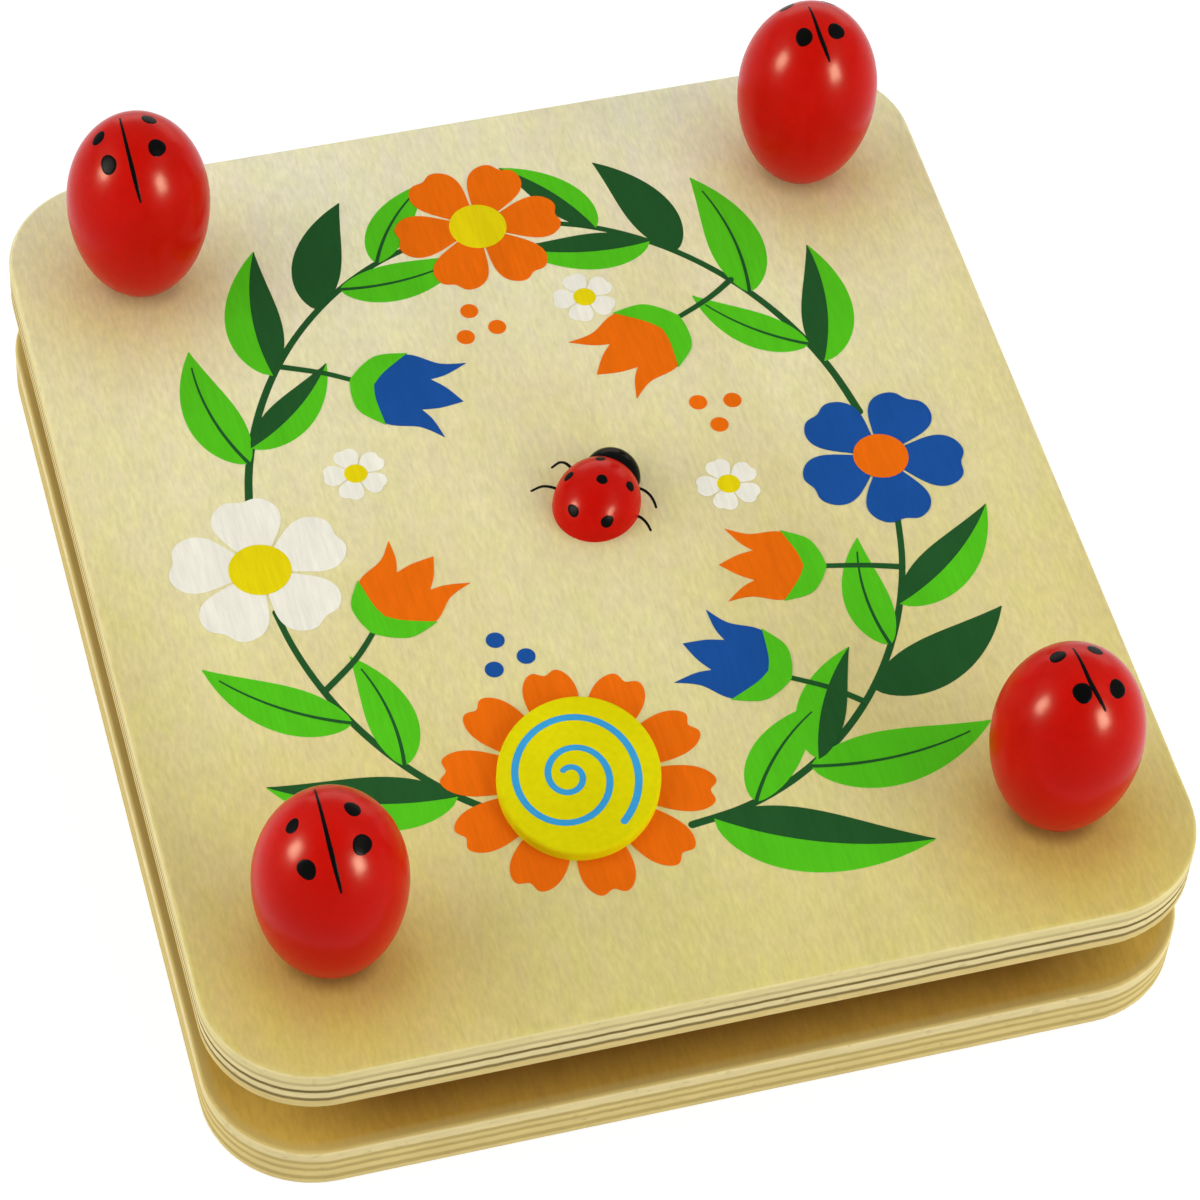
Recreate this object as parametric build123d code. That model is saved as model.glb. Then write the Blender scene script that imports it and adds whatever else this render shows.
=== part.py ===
from build123d import *
import math
import os

# Boards, sizes in millimetres
BOARD_W = 200.0
BOARD_D = 230.0
TOP_BOARD_T = 11.5
BOTTOM_BOARD_T = 11.5
CORNER_R = 22.5
EDGE_ROUND = 0.9

# Place of the four bolts, measured from the board edges to the bolt axis
BOLT_INSET_X = 27.0
BOLT_INSET_Y = 28.0

# Loose leaves between the boards, cards at both ends and papers between cards
CARD_T = 2.6
CARD_COUNT = 5
PAPER_T = 0.5
PAPERS_BETWEEN = 2
STACK_SETBACK_X = 21.0
STACK_SETBACK_Y = 19.0
CARD_CORNER_CUT = 24.0
PAPER_CORNER_CUT = 26.0
PAPER_SETBACK = 2.0

# Coach bolts with a domed head, a square neck and an M6 shank
BOLT_D = 6.0
BOLT_HEAD_D = 13.5
BOLT_HEAD_H = 3.0
BOLT_NECK = 6.0
BOLT_NECK_H = 3.4
BOLT_STANDOUT = 24.0
BOLT_TIP_CHAMFER = 0.8
HEAD_RECESS = 1.0

# Turned knobs, egg shaped, with a flat seat
KNOB_D = 30.0
KNOB_H = 45.5
KNOB_SEAT_D = 12.6
KNOB_BELLY_Z = 23.4
INSERT_D = 9.0
INSERT_L = 17.0

# Ornaments glued on the top board
BEETLE_X = 5.0
BEETLE_Y = 5.1
BEETLE_TURN = 52.0
BEETLE_L = 20.2
BEETLE_W = 18.0
BEETLE_H = 9.8
BEETLE_HEAD_AHEAD = 8.2
BEETLE_HEAD_L = 10.4
BEETLE_HEAD_W = 12.0
BEETLE_HEAD_H = 6.8
DISC_X = -16.7
DISC_FROM_FRONT = 54.2
DISC_W = 32.4
DISC_D = 37.8
DISC_TURN = -19.0
DISC_T = 2.6
DISC_EDGE = 0.7

# Fits, radial or per side
HOLE_CLEAR = 0.5
SHANK_CLEAR = 0.15
NECK_CLEAR = 0.1
HEAD_CLEAR = 1.0
THREAD_CLEAR = 0.1
BORE_CLEAR = 0.4
BORE_END_CLEAR = 8.0

# Heights that follow from the sizes above
PAPER_COUNT = PAPERS_BETWEEN * (CARD_COUNT - 1)
STACK_H = CARD_COUNT * CARD_T + PAPER_COUNT * PAPER_T
Z_STACK = BOTTOM_BOARD_T
Z_TOP0 = Z_STACK + STACK_H
Z_TOP1 = Z_TOP0 + TOP_BOARD_T
Z_HEAD = HEAD_RECESS + BOLT_HEAD_H
Z_NECK = Z_HEAD + BOLT_NECK_H
Z_TIP = Z_TOP1 + BOLT_STANDOUT

DISC_Y = -BOARD_D / 2 + DISC_FROM_FRONT

BX = BOARD_W / 2 - BOLT_INSET_X
BY = BOARD_D / 2 - BOLT_INSET_Y
CORNERS = {
    "front_left": (-BX, -BY),
    "front_right": (BX, -BY),
    "back_right": (BX, BY),
    "back_left": (-BX, BY),
}


def cyl(d, z0, z1, x=0.0, y=0.0):
    return Pos(x, y, z0) * Cylinder(d / 2, z1 - z0, align=(Align.CENTER, Align.CENTER, Align.MIN))


def block(w, d, z0, z1, x=0.0, y=0.0):
    return Pos(x, y, z0) * Box(w, d, z1 - z0, align=(Align.CENTER, Align.CENTER, Align.MIN))


def board(z0, z1):
    outline = RectangleRounded(BOARD_W, BOARD_D, CORNER_R)
    body = Pos(0, 0, z0) * extrude(outline, z1 - z0)
    rims = body.edges().filter_by(lambda e: abs(e.center().Z - z0) < 1e-6 or abs(e.center().Z - z1) < 1e-6)
    return fillet(rims, EDGE_ROUND)


def bottom_board():
    b = board(0, BOTTOM_BOARD_T)
    for x, y in CORNERS.values():
        b -= cyl(BOLT_HEAD_D + 2 * HEAD_CLEAR, -1, Z_HEAD, x, y)
        neck = BOLT_NECK + 2 * NECK_CLEAR
        b -= block(neck, neck, Z_HEAD - 0.5, Z_NECK + 0.2, x, y)
        b -= cyl(BOLT_D + 2 * SHANK_CLEAR, Z_NECK, BOTTOM_BOARD_T + 1, x, y)
    return b


def top_board():
    b = board(Z_TOP0, Z_TOP1)
    for x, y in CORNERS.values():
        b -= cyl(BOLT_D + 2 * HOLE_CLEAR, Z_TOP0 - 1, Z_TOP1 + 1, x, y)
    return b


def bolt(x, y):
    r = BOLT_HEAD_D / 2
    cap_r = (r * r + BOLT_HEAD_H * BOLT_HEAD_H) / (2 * BOLT_HEAD_H)
    cap = Pos(0, 0, HEAD_RECESS + cap_r) * Sphere(cap_r)
    cap = cap & cyl(2 * BOLT_HEAD_D, HEAD_RECESS - 1, Z_HEAD)
    neck = block(BOLT_NECK, BOLT_NECK, Z_HEAD - 0.2, Z_NECK)
    shank = cyl(BOLT_D, Z_NECK - 0.2, Z_TIP)
    tip = shank.edges().filter_by(GeomType.CIRCLE).sort_by(Axis.Z)[-1]
    shank = chamfer(tip, BOLT_TIP_CHAMFER)
    return Pos(x, y, 0) * (cap + neck + shank)


def knob_profile():
    r = KNOB_D / 2
    seat = KNOB_SEAT_D / 2
    low = KNOB_BELLY_Z / math.sqrt(1 - (seat / r) ** 2)
    start = -math.asin(KNOB_BELLY_Z / low)
    up = KNOB_H - KNOB_BELLY_Z
    below = []
    above = []
    n = 10
    for i in range(n + 1):
        a = start * (1 - i / n)
        below.append((r * math.cos(a), KNOB_BELLY_Z + low * math.sin(a)))
        a = math.pi / 2 * i / n
        above.append((r * math.cos(a), KNOB_BELLY_Z + up * math.sin(a)))
    above[-1] = (0.0, KNOB_H)
    first = (-r * math.sin(start), low * math.cos(start))
    lower = Spline(below, tangents=[first, (0, 1)])
    upper = Spline(above, tangents=[(0, 1), (-1, 0)])
    return make_face([Line((0, 0), below[0]), lower, upper, Line((0, KNOB_H), (0, 0))])


def knob(x, y):
    egg = revolve(Plane.XZ * knob_profile(), Axis.Z)
    egg -= cyl(INSERT_D, -1, INSERT_L)
    egg -= cyl(BOLT_D + 2 * BORE_CLEAR, INSERT_L - 1, BOLT_STANDOUT + BORE_END_CLEAR)
    return Pos(x, y, Z_TOP1) * egg


def insert(x, y):
    bush = cyl(INSERT_D, 0, INSERT_L) - cyl(BOLT_D + 2 * THREAD_CLEAR, -1, INSERT_L + 1)
    return Pos(x, y, Z_TOP1) * bush


def half_egg(length, width, height):
    n = 14
    pts = []
    for i in range(n + 1):
        a = math.pi / 2 * i / n
        pts.append((math.cos(a), math.sin(a)))
    arc = Spline(pts, tangents=[(0, 1), (-1, 0)])
    face = make_face([Line((0, 0), (1, 0)), arc, Line((0, 1), (0, 0))])
    dome = revolve(Plane.XZ * face, Axis.Z)
    return scale(dome, (length / 2, width / 2, height))


def beetle_place():
    return Pos(BEETLE_X, BEETLE_Y, Z_TOP1) * Rot(0, 0, BEETLE_TURN)


def beetle_body():
    return beetle_place() * half_egg(BEETLE_L, BEETLE_W, BEETLE_H)


def beetle_head():
    head = Pos(BEETLE_HEAD_AHEAD, 0, 0) * half_egg(BEETLE_HEAD_L, BEETLE_HEAD_W, BEETLE_HEAD_H)
    head = head - half_egg(BEETLE_L, BEETLE_W, BEETLE_H)
    return beetle_place() * head


def disc():
    d = extrude(Ellipse(DISC_W / 2, DISC_D / 2), DISC_T)
    d = fillet(d.edges().filter_by(lambda e: e.center().Z > DISC_T - 1e-6), DISC_EDGE)
    return Pos(DISC_X, DISC_Y, Z_TOP1) * Rot(0, 0, DISC_TURN) * d


def leaf(w, d, cut, z0, z1):
    hw = w / 2
    hd = d / 2
    pts = [
        (-hw + cut, -hd), (hw - cut, -hd), (hw, -hd + cut), (hw, hd - cut),
        (hw - cut, hd), (-hw + cut, hd), (-hw, hd - cut), (-hw, -hd + cut),
    ]
    return Pos(0, 0, z0) * extrude(make_face(Polyline(*pts, close=True)), z1 - z0)


def leaves():
    w = BOARD_W - 2 * STACK_SETBACK_X
    d = BOARD_D - 2 * STACK_SETBACK_Y
    pw = w - 2 * PAPER_SETBACK
    pd = d - 2 * PAPER_SETBACK
    out = {}
    z = Z_STACK
    paper = 0
    for i in range(CARD_COUNT):
        out["card_%d" % (i + 1)] = leaf(w, d, CARD_CORNER_CUT, z, z + CARD_T)
        z += CARD_T
        if i == CARD_COUNT - 1:
            break
        for j in range(PAPERS_BETWEEN):
            paper += 1
            out["paper_%d" % paper] = leaf(pw, pd, PAPER_CORNER_CUT, z, z + PAPER_T)
            z += PAPER_T
    return out


nodes = {
    "bottom_board": bottom_board(),
    "top_board": top_board(),
    "beetle_body": beetle_body(),
    "beetle_head": beetle_head(),
    "disc": disc(),
}
for name, (x, y) in CORNERS.items():
    nodes["bolt_" + name] = bolt(x, y)
    nodes["knob_" + name] = knob(x, y)
    nodes["insert_" + name] = insert(x, y)
nodes.update(leaves())

os.makedirs("parts", exist_ok=True)
for name, shape in nodes.items():
    solid = shape.solids()[0] if len(shape.solids()) == 1 else shape
    export_step(solid, "parts/" + name + ".step")
    bb = solid.bounding_box()
    print(name, len(shape.solids()), round(solid.volume, 1), [round(v, 2) for v in (*bb.min, *bb.max)])
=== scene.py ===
import math
import random
import bpy
import bmesh
from mathutils import Matrix, Vector


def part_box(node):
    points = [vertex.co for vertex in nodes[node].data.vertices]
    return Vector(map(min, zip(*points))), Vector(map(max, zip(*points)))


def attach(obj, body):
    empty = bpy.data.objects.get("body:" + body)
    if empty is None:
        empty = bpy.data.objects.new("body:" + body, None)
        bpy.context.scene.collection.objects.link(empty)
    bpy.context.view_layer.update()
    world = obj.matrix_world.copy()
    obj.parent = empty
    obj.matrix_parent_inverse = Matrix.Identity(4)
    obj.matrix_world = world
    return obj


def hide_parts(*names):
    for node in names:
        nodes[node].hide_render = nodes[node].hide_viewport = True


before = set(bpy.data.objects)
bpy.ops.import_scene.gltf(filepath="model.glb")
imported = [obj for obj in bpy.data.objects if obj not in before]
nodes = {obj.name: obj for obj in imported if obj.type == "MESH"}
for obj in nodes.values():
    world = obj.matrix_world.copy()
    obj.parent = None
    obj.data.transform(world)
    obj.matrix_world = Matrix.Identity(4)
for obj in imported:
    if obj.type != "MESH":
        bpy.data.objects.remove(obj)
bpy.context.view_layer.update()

MM = 0.001
scene = bpy.context.scene
scene.view_settings.view_transform = "Standard"
CORNERS = ("front_left", "front_right", "back_right", "back_left")


# Sizes and places of the pieces, read from the frame in millimetres


def box_mm(name):
    low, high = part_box(name)
    return [v / MM for v in low], [v / MM for v in high]


def middle(name):
    return [(a + b) / 2 for a, b in zip(*box_mm(name))]


(_, _, TOP_LOW), (BOARD_HALF_X, BOARD_HALF_Y, Z_TOP) = box_mm("top_board")
Z_LOW = box_mm("bottom_board")[1][2]
KNOB_X, KNOB_Y, _ = middle("knob_back_right")
DISC_X, DISC_Y, _ = middle("disc")
DISC_TOP = box_mm("disc")[1][2]
BEETLE_X, BEETLE_Y, _ = middle("beetle_body")
BEETLE_Z = box_mm("beetle_body")[0][2]
BEETLE_H = box_mm("beetle_body")[1][2] - BEETLE_Z


# Shader helpers


def new_material(name):
    m = bpy.data.materials.new(name)
    m.use_nodes = True
    nt = m.node_tree
    nt.nodes.clear()
    out = nt.nodes.new("ShaderNodeOutputMaterial")
    bsdf = nt.nodes.new("ShaderNodeBsdfPrincipled")
    nt.links.new(bsdf.outputs[0], out.inputs[0])
    return m, nt, bsdf


def node(nt, kind, links=None, **props):
    n = nt.nodes.new("ShaderNode" + kind)
    for k, v in props.items():
        setattr(n, k, v)
    for k, v in (links or {}).items():
        if isinstance(v, bpy.types.NodeSocket):
            nt.links.new(v, n.inputs[k])
        else:
            n.inputs[k].default_value = v
    return n


def noise(nt, scale, detail, rough, offset=(0, 0, 0)):
    tc = node(nt, "TexCoord")
    mp = node(nt, "Mapping", {"Vector": tc.outputs["Object"], "Scale": scale, "Location": offset})
    n = node(nt, "TexNoise", {"Vector": mp.outputs[0], "Scale": 1.0, "Detail": detail, "Roughness": rough})
    return n.outputs[0]


def ramp(nt, fac, stops):
    r = node(nt, "ValToRGB", {"Fac": fac})
    el = r.color_ramp.elements
    while len(el) < len(stops):
        el.new(0.5)
    for e, (p, c) in zip(el, stops):
        e.position = p
        e.color = (*c, 1.0)
    return r.outputs[0]


def grey(nt, fac, stops):
    return ramp(nt, fac, [(p, (v, v, v)) for p, v in stops])


def maths(nt, op, a, b=0.0):
    return node(nt, "Math", {0: a, 1: b}, operation=op).outputs[0]


def mix(nt, fac, a, b, blend="MIX"):
    n = nt.nodes.new("ShaderNodeMix")
    n.data_type = "RGBA"
    n.blend_type = blend
    for k, v in ((0, fac), (6, a), (7, b)):
        if isinstance(v, bpy.types.NodeSocket):
            nt.links.new(v, n.inputs[k])
        elif k == 0:
            n.inputs[k].default_value = v
        else:
            n.inputs[k].default_value = (*v, 1.0)
    return n.outputs[2]


def bump(nt, bsdf, height, strength, distance):
    b = node(nt, "Bump", {"Height": height, "Strength": strength, "Distance": distance})
    nt.links.new(b.outputs[0], bsdf.inputs["Normal"])


def axis_value(nt, axis):
    tc = node(nt, "TexCoord")
    s = node(nt, "SeparateXYZ", {"Vector": tc.outputs["Object"]})
    return s.outputs[axis]


def map_range(nt, v, a, b, c=0.0, d=1.0, smooth=False):
    n = node(nt, "MapRange", {0: v, 1: a, 2: b, 3: c, 4: d})
    n.interpolation_type = "SMOOTHSTEP" if smooth else "LINEAR"
    return n.outputs[0]


def shaded(nt, colour, pattern, dark, light):
    return mix(nt, 1.0, colour, grey(nt, pattern, [(0.3, dark), (0.7, light)]), "MULTIPLY")


def roughness(nt, bsdf, pattern, reach, base):
    value = maths(nt, "ADD", maths(nt, "MULTIPLY", pattern, reach), base)
    nt.links.new(value, bsdf.inputs["Roughness"])


def out_from_middle(nt, axis):
    return maths(nt, "ABSOLUTE", axis_value(nt, axis))


def root_of_squares(nt, a, b):
    total = maths(nt, "ADD", maths(nt, "POWER", a, 2.0), maths(nt, "POWER", b, 2.0))
    return maths(nt, "SQRT", total)


# Plywood: soft straight face grain along the depth, plies on the edges

CORNER_R = 22.5
SIDE_FROM = 50.0
SIDE_TO = 98.0
SIDE_WARMTH = 0.36
# Share of the painted knob shade that is kept at the back of the board
BACK_SHADE_SHARE = 0.3
FLECK = (0.42, 0.33, 0.16)
PORE = (0.42, 0.31, 0.12)
# Painted shade round each knob, for its shadow and the warm light it throws on the wood: set forward by,
# outer radius, inner radius and amount, then a colour
KNOB_SHADE = (7.0, 34.0, 8.0, 0.70)
# Two rings of painted contact shadow, darkest next to each seat
SEAT_SHADE_RINGS = (
    (3.0, 19.0, 9.0, 0.30, (0.40, 0.20, 0.05)),
    (1.0, 11.0, 6.5, 0.75, (0.20, 0.09, 0.025)),
)
# Lower board: how far in from its outline the painted shade under the lid deepens, the rim painted paler
# where it is lit, and the pale square at each corner, painted lighter where more light reaches
COVER_FROM = 2.0
COVER_TO = 15.0
RIM_FROM = 0.5
RIM_TO = 3.0
RIM_AMOUNT = 0.8
RIM = (0.62, 0.50, 0.19)
PALE_SPAN = 36.0
PALE_FADE = 30.0
PALE_AMOUNT = 0.85
LIT_CORNER = (0.76, 0.51, 0.10)


def knob_distance(nt, forward):
    dx = maths(nt, "SUBTRACT", out_from_middle(nt, 0), KNOB_X * MM)
    y = axis_value(nt, 1)
    gaps = []
    for side in (1, -1):
        dy = maths(nt, "SUBTRACT", y, (side * KNOB_Y - forward) * MM)
        gaps.append(root_of_squares(nt, dx, dy))
    return maths(nt, "MINIMUM", *gaps)


def fine_grain(nt):
    return noise(nt, (420, 20, 420), 4, 0.55)


def grain_tone(nt, fine, fuzz):
    mottle = noise(nt, (300, 130, 300), 2, 0.5, offset=(7, 3, 2))
    broad = noise(nt, (60, 4.5, 60), 3, 0.5, offset=(11, 5, 0))
    tone = grey(nt, fine, [(0.3, 0.985), (0.7, 1.012)])
    for pattern, dark, light in ((fuzz, 0.915, 1.065), (mottle, 0.965, 1.025), (broad, 0.965, 1.025)):
        tone = shaded(nt, tone, pattern, dark, light)
    return tone


def ply_face(nt, grain, pale, warm, shade):
    depth = map_range(nt, axis_value(nt, 1), -BOARD_HALF_Y * MM, BOARD_HALF_Y * MM)
    face = mix(nt, depth, warm, pale)
    sideways = map_range(nt, out_from_middle(nt, 0), SIDE_FROM * MM, SIDE_TO * MM, 0.0, SIDE_WARMTH)
    face = mix(nt, sideways, face, warm)
    cloud = noise(nt, (16, 9, 16), 2, 0.5, offset=(1, 7, 0))
    face = mix(nt, grey(nt, cloud, [(0.40, 0.0), (0.72, 0.35)]), face, shade)
    # Painted shade round the knobs, strongest at the front where their shadows fall, and painted contact
    # shadow rings at each seat
    knob_shade_share = map_range(nt, depth, 0.0, 1.0, 1.0, BACK_SHADE_SHARE)
    for forward, outer, inner, amount, tint in ((*KNOB_SHADE, shade), *SEAT_SHADE_RINGS):
        near = map_range(nt, knob_distance(nt, forward), outer * MM, inner * MM, 0.0, amount, smooth=True)
        face = mix(nt, maths(nt, "MULTIPLY", near, knob_shade_share), face, tint)
    face = mix(nt, 1.0, face, grain, "MULTIPLY")
    hue = noise(nt, (260, 110, 260), 2, 0.5, offset=(6, 9, 3))
    hue = ramp(nt, hue, [(0.35, (1.0, 0.985, 1.04)), (0.65, (1.0, 1.01, 0.93))])
    face = mix(nt, 1.0, face, hue, "MULTIPLY")
    fleck = noise(nt, (1500, 150, 1500), 1, 0.4, offset=(9, 2, 4))
    return mix(nt, grey(nt, fleck, [(0.70, 0.0), (0.76, 0.16)]), face, FLECK)


# Painted shade under the lid: the lower board's face is painted darker and browner the further in it lies,
# with the lit rim and the corners painted paler
def gap_shaded_face(nt, grain, face, deep):
    x = out_from_middle(nt, 0)
    y = out_from_middle(nt, 1)
    past_x = maths(nt, "SUBTRACT", x, (BOARD_HALF_X - CORNER_R) * MM)
    past_y = maths(nt, "SUBTRACT", y, (BOARD_HALF_Y - CORNER_R) * MM)
    past = root_of_squares(nt, maths(nt, "MAXIMUM", past_x), maths(nt, "MAXIMUM", past_y))
    inset = maths(nt, "SUBTRACT", CORNER_R * MM, past)
    painted_gap_shade = mix(nt, 1.0, deep, grain, "MULTIPLY")
    face = mix(nt, map_range(nt, inset, COVER_FROM * MM, COVER_TO * MM), face, painted_gap_shade)
    near_x = maths(nt, "SUBTRACT", x, (BOARD_HALF_X - PALE_SPAN) * MM)
    near_y = maths(nt, "SUBTRACT", y, (BOARD_HALF_Y - PALE_SPAN) * MM)
    corner = map_range(nt, maths(nt, "MINIMUM", near_x, near_y), 0.0, PALE_FADE * MM, 0.0, PALE_AMOUNT)
    face = mix(nt, corner, face, mix(nt, 1.0, LIT_CORNER, grain, "MULTIPLY"))
    return mix(nt, map_range(nt, inset, RIM_FROM * MM, RIM_TO * MM, RIM_AMOUNT, 0.0), face, RIM)


def ply_edge(nt, z0, z1, plies):
    wave = noise(nt, (42, 42, 0.0), 2, 0.5)
    ragged = noise(nt, (260, 260, 0.0), 1, 0.5, offset=(2, 9, 0))
    z = map_range(nt, axis_value(nt, 2), z0 * MM, z1 * MM)
    for pattern, reach in ((wave, 0.05), (ragged, 0.035)):
        z = maths(nt, "ADD", z, maths(nt, "MULTIPLY", maths(nt, "SUBTRACT", pattern, 0.5), reach))
    edge = shaded(nt, ramp(nt, z, plies), noise(nt, (110, 110, 700), 3, 0.6), 0.92, 1.04)
    pores = noise(nt, (420, 420, 600), 2, 0.5, offset=(4, 4, 1))
    return mix(nt, grey(nt, pores, [(0.62, 0.0), (0.76, 0.3)]), edge, PORE)


def plywood(name, z0, z1, plies, pale, warm, shade, under, deep=None):
    m, nt, bsdf = new_material(name)
    fine = fine_grain(nt)
    fuzz = noise(nt, (1100, 320, 1100), 3, 0.6, offset=(3, 1, 0))
    grain = grain_tone(nt, fine, fuzz)
    face = ply_face(nt, grain, pale, warm, shade)
    if deep:
        face = gap_shaded_face(nt, grain, face, deep)
    edge = ply_edge(nt, z0, z1, plies)
    back = mix(nt, 1.0, under, grain, "MULTIPLY")
    geo = node(nt, "NewGeometry")
    nz = node(nt, "SeparateXYZ", {"Vector": geo.outputs["Normal"]}).outputs[2]
    col = mix(nt, map_range(nt, nz, 0.45, 0.85, smooth=True), edge, face)
    col = mix(nt, map_range(nt, nz, -0.45, -0.85, smooth=True), col, back)
    nt.links.new(col, bsdf.inputs["Base Color"])
    roughness(nt, bsdf, fine, 0.12, 0.54)
    bsdf.inputs["Specular IOR Level"].default_value = 0.0
    bump(nt, bsdf, maths(nt, "ADD", fine, maths(nt, "MULTIPLY", fuzz, 0.5)), 0.06, 0.0003)
    return m


# Plies and glue lines from the underside up: height as a share of the board, then colour
PLY = (0.82, 0.715, 0.39)
PLY_FACE = (0.79, 0.70, 0.365)
PLY_WARM = (0.74, 0.60, 0.26)
GLUE_DARK = (0.20, 0.15, 0.05)
GLUE_MID = (0.26, 0.195, 0.075)
GLUE_PALE = (0.61, 0.51, 0.25)
TOP_PLIES = [
    (0.00, PLY_WARM), (0.215, PLY_WARM),
    (0.25, GLUE_MID), (0.305, GLUE_MID),
    (0.34, PLY), (0.465, PLY),
    (0.495, GLUE_DARK), (0.545, GLUE_DARK),
    (0.575, PLY), (0.67, PLY),
    (0.70, GLUE_PALE), (0.75, GLUE_PALE),
    (0.79, PLY_FACE), (1.00, PLY_FACE),
]
LOW_PLY = (0.78, 0.65, 0.29)
LOW_GLUE = (0.58, 0.455, 0.17)
LOW_PLIES = [
    (0.00, LOW_PLY), (0.15, LOW_PLY),
    (0.19, LOW_GLUE), (0.265, LOW_GLUE),
    (0.305, LOW_PLY), (0.42, LOW_PLY),
    (0.455, LOW_GLUE), (0.51, LOW_GLUE),
    (0.55, LOW_PLY), (0.63, LOW_PLY),
    (0.665, LOW_GLUE), (0.72, LOW_GLUE),
    (0.76, PLY), (1.00, PLY),
]
# Lower board's face: partly its own golden wood, partly painted shade of the gap it lies in
GOLD_AND_GAP_SHADE = (0.60, 0.36, 0.062)
# The top board's underside faces the gap and is painted dark brown for the shade there
ply_top = plywood(
    "plywood_top", TOP_LOW, Z_TOP, TOP_PLIES,
    pale=(0.84, 0.83, 0.60), warm=(0.67, 0.60, 0.235), shade=(0.60, 0.455, 0.10),
    under=(0.31, 0.155, 0.035))
# The lower board's deep colour is the painted shade under the lid
ply_low = plywood(
    "plywood_low", 0.0, Z_LOW, LOW_PLIES,
    pale=GOLD_AND_GAP_SHADE, warm=GOLD_AND_GAP_SHADE, shade=(0.50, 0.29, 0.045),
    under=(0.74, 0.63, 0.32), deep=(0.185, 0.070, 0.012))


# Paints, inks, metals and papers


def paint(name, colour, deep, rough, spec, peel, sheen=(1.0, 1.0, 1.0)):
    m, nt, bsdf = new_material(name)
    soft = noise(nt, (55, 55, 55), 3, 0.5)
    fine = noise(nt, (700, 700, 700), 2, 0.5, offset=(2, 0, 5))
    col = mix(nt, grey(nt, soft, [(0.35, 0.0), (0.7, 1.0)]), deep, colour)
    nt.links.new(shaded(nt, col, fine, 0.96, 1.03), bsdf.inputs["Base Color"])
    roughness(nt, bsdf, soft, 0.06, rough - 0.03)
    bsdf.inputs["Specular IOR Level"].default_value = spec
    bsdf.inputs["Specular Tint"].default_value = (*sheen, 1.0)
    bump(nt, bsdf, maths(nt, "ADD", fine, maths(nt, "MULTIPLY", soft, 2.0)), peel, 0.0003)
    return m


WARM_SHEEN = (1.0, 0.80, 0.60)
red = paint("gloss_red", (0.56, 0.006, 0.003), (0.50, 0.005, 0.002), 0.24, 0.06, 0.05, WARM_SHEEN)
black = paint("gloss_black", (0.004, 0.004, 0.004), (0.003, 0.003, 0.003), 0.20, 0.025, 0.05)
yellow = paint("satin_yellow", (0.72, 0.68, 0.004), (0.67, 0.62, 0.003), 0.42, 0.0, 0.08)
sky = paint("satin_blue", (0.045, 0.36, 0.72), (0.04, 0.32, 0.66), 0.42, 0.0, 0.08)


def ink(name, colour):
    m, nt, bsdf = new_material(name)
    fine = fine_grain(nt)
    fuzz = noise(nt, (1500, 170, 1500), 2, 0.5, offset=(3, 1, 0))
    patch = noise(nt, (120, 60, 120), 3, 0.5, offset=(8, 8, 0))
    col = colour
    for pattern, dark, light in ((fine, 0.96, 1.03), (fuzz, 0.95, 1.04), (patch, 0.96, 1.03)):
        col = shaded(nt, col, pattern, dark, light)
    nt.links.new(col, bsdf.inputs["Base Color"])
    roughness(nt, bsdf, fine, 0.12, 0.54)
    bsdf.inputs["Specular IOR Level"].default_value = 0.0
    bump(nt, bsdf, fine, 0.05, 0.0003)
    return m


INKS = {
    "light_green": ink("ink_light_green", (0.085, 0.53, 0.014)),
    "dark_green": ink("ink_dark_green", (0.018, 0.092, 0.024)),
    "orange": ink("ink_orange", (0.80, 0.148, 0.005)),
    "blue": ink("ink_blue", (0.012, 0.080, 0.33)),
    "yellow": ink("ink_yellow", (0.76, 0.64, 0.006)),
    "white": ink("ink_white", (0.83, 0.83, 0.74)),
    "black": ink("ink_black", (0.010, 0.011, 0.009)),
}


def metal(name, colour, rough, streak):
    m, nt, bsdf = new_material(name)
    n = noise(nt, streak, 3, 0.6)
    nt.links.new(shaded(nt, colour, n, 0.82, 1.08), bsdf.inputs["Base Color"])
    bsdf.inputs["Metallic"].default_value = 1.0
    roughness(nt, bsdf, n, 0.2, rough - 0.1)
    bump(nt, bsdf, n, 0.06, 0.0002)
    return m


zinc = metal("zinc_plate", (0.62, 0.63, 0.64), 0.34, (500, 500, 2500))
brass = metal("turned_brass", (0.80, 0.58, 0.24), 0.3, (300, 300, 4000))


def fibre(name, colour, deep, scale):
    m, nt, bsdf = new_material(name)
    a = noise(nt, scale, 5, 0.7)
    b = noise(nt, (40, 40, 40), 3, 0.5, offset=(5, 2, 1))
    col = mix(nt, grey(nt, a, [(0.35, 0.0), (0.65, 1.0)]), deep, colour)
    nt.links.new(shaded(nt, col, b, 0.93, 1.05), bsdf.inputs["Base Color"])
    roughness(nt, bsdf, a, 0.1, 0.8)
    bsdf.inputs["Specular IOR Level"].default_value = 0.15
    bump(nt, bsdf, a, 0.25, 0.0003)
    return m


card = fibre("brown_card", (0.50, 0.34, 0.18), (0.38, 0.25, 0.12), (600, 160, 600))
paper = fibre("blotting_paper", (0.86, 0.83, 0.74), (0.78, 0.74, 0.64), (900, 900, 900))


# Mesh helpers, all sizes in millimetres in the shared frame

WELD = 1e-4


def finish_mesh(name, bm, material, body, smooth_angle=None, replaces=()):
    bmesh.ops.recalc_face_normals(bm, faces=bm.faces)
    me = bpy.data.meshes.new(name)
    bm.to_mesh(me)
    bm.free()
    me.transform(Matrix.Scale(MM, 4))
    if smooth_angle is not None:
        me.polygons.foreach_set("use_smooth", [True] * len(me.polygons))
        me.set_sharp_from_angle(angle=math.radians(smooth_angle))
    ob = bpy.data.objects.new(name, me)
    scene.collection.objects.link(ob)
    me.materials.append(material)
    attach(ob, body)
    if replaces:
        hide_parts(*replaces)


def signed_area(pts):
    s = 0.0
    for (x0, y0), (x1, y1) in zip(pts, pts[1:] + pts[:1]):
        s += x0 * y1 - x1 * y0
    return s / 2


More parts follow.
